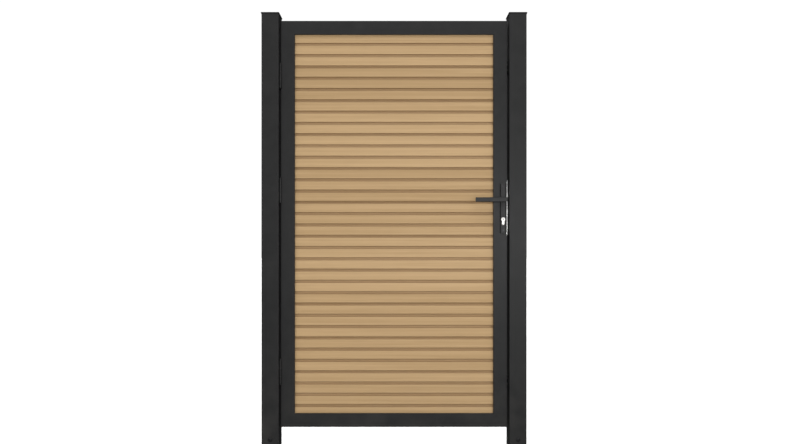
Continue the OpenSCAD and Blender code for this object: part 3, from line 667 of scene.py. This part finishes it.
# %% Measure the boards
first_low, first_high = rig.box("board_1")
second_low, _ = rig.box("board_2")
BOARD_COVER = first_low.z - second_low.z
BOARDS_TOP = first_high.z
STRIPS_PER_BOARD = 3
STRIP_COVER = BOARD_COVER / STRIPS_PER_BOARD
BOARD_FACE = first_high.y
print(f"boards cover {BOARD_COVER * MM:.1f} mm each, strips {STRIP_COVER * MM:.1f} mm")


# %% Group: oak grain
BAND_STRETCH = (1.1, 60.0, 95.0)
PORE_STRETCH = (5.0, 500.0, 620.0)


def make_oak_grain():
    """Bands and pores along each board, which has its own tone."""
    takes = [
        ("Vector", "Vector", None),
        ("Top", "Float", 1.85),
        ("Board", "Float", 0.15),
        ("Strip", "Float", 0.05),
    ]
    gives = [("Tone", "Float"), ("Pores", "Float"), ("Height", "Float")]
    group, given, result = start_group("oak_grain", takes, gives)
    place = put(group, "SeparateXYZ", {0: given["Vector"]}).outputs
    depth = reckon(group, "SUBTRACT", given["Top"], place["Z"])
    board = reckon(group, "FLOOR", reckon(group, "DIVIDE", depth, given["Board"]))
    strip = reckon(group, "FLOOR", reckon(group, "DIVIDE", depth, given["Strip"]))
    board_draw = put(group, "TexWhiteNoise", {"W": board}, noise_dimensions="1D")
    board_tone = board_draw.outputs["Value"]
    strip_number = reckon(group, "ADD", strip, 31.5)
    strip_draw = put(group, "TexWhiteNoise", {"W": strip_number}, noise_dimensions="1D")
    strip_tone = strip_draw.outputs["Value"]
    along = reckon(group, "MULTIPLY", board, 3.7)
    shifted = put(group, "CombineXYZ", {0: along, 1: 0.0, 2: 0.0}).outputs[0]
    own = put(group, "VectorMath", {0: given["Vector"], 1: shifted}, operation="ADD").outputs[0]
    wide = put(group, "VectorMath", {0: own, 1: BAND_STRETCH}, operation="MULTIPLY").outputs[0]
    fine = put(group, "VectorMath", {0: own, 1: PORE_STRETCH}, operation="MULTIPLY").outputs[0]
    wavy = {"Vector": wide, "Scale": 1.0, "Detail": 3.0, "Distortion": 0.3}
    bands = put(group, "TexNoise", wavy)
    lines = put(group, "TexNoise", {"Vector": fine, "Scale": 1.0, "Detail": 2.0})
    tone = reckon(group, "MULTIPLY", bands.outputs["Fac"], 0.44)
    tone = reckon(group, "ADD", tone, reckon(group, "MULTIPLY", lines.outputs["Fac"], 0.34))
    tone = reckon(group, "ADD", tone, reckon(group, "MULTIPLY", board_tone, 0.10))
    tone = reckon(group, "ADD", tone, reckon(group, "MULTIPLY", strip_tone, 0.12))
    pores = remap(group, lines.outputs["Fac"], 0.60, 0.72)
    group.links.new(tone, result["Tone"])
    group.links.new(pores, result["Pores"])
    group.links.new(lines.outputs["Fac"], result["Height"])
    return group


oak_grain = make_oak_grain()
print("group", oak_grain.name)


# %% [markdown]
# ### Painted shade in the grooves of the oak
#
# The grooves get painted shade: their colour is darkened to stand in for the soft shade that falls
# in them. Painting that by hand would take a picture for each board. The shape already says where a
# groove is: its floor lies deeper than the face, and its walls face up or down. So a group reads
# the depth and the direction of the surface, and puts out how much painted shade it gets.


# %% Group: painted groove shade
# Depths and turns over which the grooves take painted shade, and how much of it
FLOOR_DEPTHS = (0.0006, 0.0020)
FLOOR_PAINTED_SHADE = 0.34
WALL_TURNS = (0.55, 0.90)
WALL_PAINTED_SHADE = 0.30


def make_painted_groove_shade():
    """Painted shade in a groove, by its depth and by which way its surface faces."""
    takes = [("Vector", "Vector", None), ("Face", "Float", 0.01)]
    group, given, result = start_group("groove_shade", takes, [("Mask", "Float")])
    across = put(group, "SeparateXYZ", {0: given["Vector"]}).outputs["Y"]
    depth = reckon(group, "SUBTRACT", given["Face"], reckon(group, "ABSOLUTE", across))
    # painted shade on the groove floors, more of it the deeper they lie
    floor_part = remap(group, depth, *FLOOR_DEPTHS, 0.0, FLOOR_PAINTED_SHADE)
    normal = put(group, "NewGeometry").outputs["Normal"]
    level = reckon(group, "ABSOLUTE", put(group, "SeparateXYZ", {0: normal}).outputs["Z"])
    # painted shade on the groove walls, which face up or down
    wall_part = remap(group, level, *WALL_TURNS, 0.0, WALL_PAINTED_SHADE)
    group.links.new(reckon(group, "ADD", floor_part, wall_part, clamp=True), result["Mask"])
    return group


groove_shade = make_painted_groove_shade()
print("group", groove_shade.name)


# %% Oiled oak
OAK_DARK = (0.380, 0.248, 0.117, 1.0)
OAK_LIGHT = (0.475, 0.318, 0.160, 1.0)
OAK_PORE = (0.235, 0.140, 0.062, 1.0)
# the colour of the painted shade in the grooves
OAK_GROOVE_SHADE = (0.120, 0.048, 0.010, 1.0)
OAK_DUST = (0.30, 0.26, 0.20, 1.0)
OAK_DULL = 0.66
OAK_SHEEN = 0.52


def oiled_oak(name):
    """Oak that drifts between two tones, darker in its pores, with painted shade in its grooves."""
    made, tree, shader, where = start_finish(name)
    grain = place_group(
        tree, oak_grain, vector=where, top=BOARDS_TOP, board=BOARD_COVER, strip=STRIP_COVER
    )
    # painted shade for the grooves, from their depth and the way they face
    painted_recess_shade = place_group(tree, groove_shade, vector=where, face=BOARD_FACE)["Mask"]
    dust = place_group(tree, weather, vector=where, amount=0.10)
    drift = remap(tree, grain["Tone"], *TIGHT_SPAN)
    colour = blend_colours(tree, drift, OAK_DARK, OAK_LIGHT)
    darker = reckon(tree, "MULTIPLY", grain["Pores"], 0.35)
    colour = blend_colours(tree, darker, colour, OAK_PORE)
    # painted shade: the grooves are darkened towards their shade colour
    colour = blend_colours(tree, painted_recess_shade, colour, OAK_GROOVE_SHADE)
    colour = blend_colours(tree, dust["Mask"], colour, OAK_DUST)
    tree.links.new(colour, shader.inputs["Base Color"])
    rough = remap(tree, grain["Tone"], *TIGHT_SPAN, OAK_DULL, OAK_SHEEN)
    tree.links.new(rough, shader.inputs["Roughness"])
    shader.inputs["Specular IOR Level"].default_value = 0.35
    bump(tree, shader, grain["Height"], 0.35, 0.0003)
    return made


finish["oak"] = oiled_oak("oiled_oak")
print("boards:", finish["oak"].name)

# %% [markdown]
# ## Give every part its finish
#
# Each part's record names the finish that it takes. The parts inside the lock and the posts get
# theirs too, because the gate opens, and they show then.

# %% Paint the parts
for name, part in nodes.items():
    for place in part.material_slots:
        place.material = finish[slot_of[name]]
print(f"painted {len(nodes)} parts")

# %% [markdown]
# ## Ease the corners
#
# A sharp CAD edge is a line with no width, so it never catches light, and that is what makes a
# render look false. A real edge is broken: sawn and planed on wood, a die radius on an extruded
# bar, a rolled corner on tube, a thick edge of paint on coated steel. The part's own mesh must
# stay as it is, so the lesson works on a copy. The copy arrives as loose triangles. Doubled
# points are merged, flat neighbours are dissolved into one face, and then the sharp edges are
# bevelled. The new faces are marked with the attribute edge, which the finishes read.


# %% Helpers for easing
MERGE_WITHIN = 0.000002
FLAT_WITHIN = 0.5
CREASE = 38


def long_way(edge, axis):
    """True for an edge that runs along one axis: 0 is X, 1 is Y, 2 is Z."""
    line = edge.verts[1].co - edge.verts[0].co
    return abs(line[axis]) > 0.999 * line.length


def eased(name, width, steps=2, along=None, shortest=0.0, sharp=40.0, slot=None):
    """A copy of one part with its sharp edges bevelled, which then stands for the part."""
    mesh = nodes[name].data.copy()
    bm = bmesh.new()
    bm.from_mesh(mesh)
    edge = bm.faces.layers.float.new("edge")
    bmesh.ops.remove_doubles(bm, verts=bm.verts, dist=MERGE_WITHIN)
    flat = math.radians(FLAT_WITHIN)
    bmesh.ops.dissolve_limit(bm, angle_limit=flat, verts=bm.verts, edges=bm.edges)
    corners = [
        e
        for e in bm.edges
        if e.is_manifold
        and e.calc_face_angle() > math.radians(sharp)
        and e.calc_length() > shortest
        and (along is None or long_way(e, along))
    ]
    cut = bmesh.ops.bevel(
        bm,
        geom=corners,
        offset=width,
        offset_type="OFFSET",
        affect="EDGES",
        segments=steps,
        profile=0.5,
        material=-1,
        clamp_overlap=True,
    )
    for face in cut["faces"]:
        face[edge] = 1.0
    for face in bm.faces:
        face.smooth = True
    open_edges = sum(1 for e in bm.edges if not e.is_manifold)
    bm.to_mesh(mesh)
    bm.free()
    mesh.set_sharp_from_angle(angle=math.radians(CREASE))
    made = bpy.data.objects.new(name + "_eased", mesh)
    scene.collection.objects.link(made)
    even = made.modifiers.new("even_shading", "WEIGHTED_NORMAL")
    even.keep_sharp = True
    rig.ride(made, body_of[name])
    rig.slot(made, slot or slot_of[name])
    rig.replaces(made, name)
    faces = len(mesh.polygons)
    print(f"{made.name}: {len(corners)} corners, {faces} faces, {open_edges} open edges")


print("tools for easing ready")

# %% [markdown]
# ### Posts, caps and feet
#
# A post is square steel tube, whose four long corners are rolled to a small radius. The caps are
# moulded with soft edges, and the feet are cut from plate and only lightly broken.

# %% Ease the posts
POST_CORNER = 0.002
CAP_CORNER = 0.0012
FOOT_CORNER = 0.0006
SCREW_CORNER = 0.0004
LONG_EDGE = 0.05  # only edges longer than this are corners of a bar

for side in ("hinge", "lock"):
    eased(f"{side}_post", POST_CORNER, steps=3, along=2, shortest=LONG_EDGE)
    eased(f"{side}_post_cap", CAP_CORNER)
    eased(f"{side}_post_foot", FOOT_CORNER)
eased("foot_screws", SCREW_CORNER)

# %% [markdown]
# ### Frame
#
# The frame is extruded aluminium. The die leaves a crisp radius of under a millimetre along each
# corner. Only edges along the bar are eased, so the mitres stay tight.

# %% Ease the frame
FRAME_CORNER = 0.0008

for name in ("hinge_stile", "lock_stile"):
    eased(name, FRAME_CORNER, along=2, shortest=LONG_EDGE)
for name in ("top_rail", "bottom_rail"):
    eased(name, FRAME_CORNER, along=0, shortest=LONG_EDGE)

# %% [markdown]
# ### Boards
#
# A planed strip has its long corners taken off with one pass of the plane, which leaves a narrow
# bright line above and below each groove.

# %% Ease the boards
BOARD_CORNER = 0.0014
BOARD_EDGE = 0.3  # only edges longer than this run the length of a board
BOARDS = 12

for number in range(1, BOARDS + 1):
    eased(f"board_{number}", BOARD_CORNER, along=0, shortest=BOARD_EDGE)

# %% [markdown]
# ### Hinges
#
# Hinge plates are pressed from steel and coated. The coat is thick on every edge and rounds it.
# The pins are blackened, so their ends don't shine in the gap.

# %% Ease the hinges and stops
BROKEN_EDGE = 0.0003
SOFT_EDGE = 0.0004

for place in ("top", "middle", "bottom"):
    eased(f"{place}_hinge_post_plate", BROKEN_EDGE)
    eased(f"{place}_hinge_leaf_plate", BROKEN_EDGE)
eased("hinge_pins", BROKEN_EDGE, slot="black_screw")
eased("stop_brackets", BROKEN_EDGE)
eased("stop_buffers", SOFT_EDGE)

# %% [markdown]
# ### Lock, backplates and levers
#
# What a hand touches is finished best. The levers have the fullest radii. The cylinder is turned
# and plated, the bolts are milled and brushed like the forend, and the rest have a broken edge.

# %% Ease the lock and handles
LEVER_CORNER = 0.0009
PLUG_EDGE = 0.0002

for side in ("front", "rear"):
    eased(f"{side}_lever", LEVER_CORNER, steps=3)
    eased(f"{side}_backplate", SOFT_EDGE)
    eased(f"{side}_plug", PLUG_EDGE)
eased("cylinder_body", BROKEN_EDGE)
eased("latch_bolt", BROKEN_EDGE, slot="stainless")
eased("dead_bolt", SOFT_EDGE, slot="stainless")
eased("lock_forend", BROKEN_EDGE)
eased("keep", BROKEN_EDGE)

# %% [markdown]
# ### Latch spring
#
# A coil spring pushes the latch out. One end stands on the wall of the case, and the other sits in
# the bore of the latch, so the coil shortens by as much as the latch moves in. A rigid copy would
# be run through, so this one is flattened along its own length as the latch slides.

# %% Let the spring give way
COIL_CREASE = 75

mesh = nodes["latch_spring"].data.copy()
bm = bmesh.new()
bm.from_mesh(mesh)
bmesh.ops.remove_doubles(bm, verts=bm.verts, dist=MERGE_WITHIN)
for face in bm.faces:
    face.smooth = True
bm.to_mesh(mesh)
bm.free()
mesh.set_sharp_from_angle(angle=math.radians(COIL_CREASE))
spring = bpy.data.objects.new("latch_spring_eased", mesh)
scene.collection.objects.link(spring)
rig.ride(spring, body_of["latch_spring"])
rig.slot(spring, slot_of["latch_spring"])
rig.replaces(spring, "latch_spring")

spring_low, spring_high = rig.box("latch_spring")
spring_length = spring_high[0] - spring_low[0]
latch_joint = next(j for j in frame["joints"] if j["name"] == "latch_slide")
latch_travel = max(abs(limit) for limit in latch_joint["range_m"])
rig.squash(
    spring,
    "latch_slide",
    axis=(1.0, 0.0, 0.0),
    anchor=tuple(spring_low),
    keep=1.0 - latch_travel / spring_length,
)
print(f"spring: {spring_length * MM:.1f} mm, gives way {latch_travel * MM:.1f} mm")

# %% [markdown]
# ## Give every eased piece its finish
#
# A copy still carries the finish of the part it was copied from. Most keep it, but the hinge pins
# and the bolts take another, so each copy is painted again from the slot that it was given.

# %% Finish the eased pieces
dressed = [o for o in scene.objects if o.type == "MESH" and o.name.endswith("_eased")]
for piece in dressed:
    piece.data.materials.clear()
    piece.data.materials.append(finish[piece["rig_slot"]])
print(f"finished {len(dressed)} eased pieces")

# %% [markdown]
# ## Floor
#
# The floor of the studio is pale and matt. It glows a little, as a lit white cove does, so that it
# stays white around the gate and still takes a soft contact shadow under the feet.

# %% Paint the floor
FLOOR_GLOW = 0.70

floor_finish, tree, shader, where = start_finish("studio_floor")
sheen = put(tree, "TexNoise", {"Vector": where, "Scale": 3.0, "Detail": 3.0}).outputs["Fac"]
tone = blend_colours(tree, sheen, grey(0.70), grey(0.76))
tree.links.new(tone, shader.inputs["Base Color"])
rough = remap(tree, sheen, *BROAD_SPAN, 0.7, 0.9)
tree.links.new(rough, shader.inputs["Roughness"])
seen = put(tree, "LightPath").outputs["Is Camera Ray"]
glow = reckon(tree, "MULTIPLY", seen, FLOOR_GLOW)
tree.links.new(glow, shader.inputs["Emission Strength"])
shader.inputs["Emission Color"].default_value = WHITE
floor_mesh.materials.append(floor_finish)
print("floor painted")

# %% [markdown]
# ## Measure and finish
#
# The dressed gate must be no bigger than the bare one. The boxes of the bare gate and of the
# dressed one are written down side by side.

# %% Write the sizes and finish
new_low, new_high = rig.bounds()
sizes = {
    "cad": [list(cad_low), list(cad_high)],
    "visual": [list(new_low), list(new_high)],
}
with open("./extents.json", "w") as size_file:
    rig.json.dump(sizes, size_file, indent=1)
print("size of the gate:", [round(v, 4) for v in (new_high - new_low)])
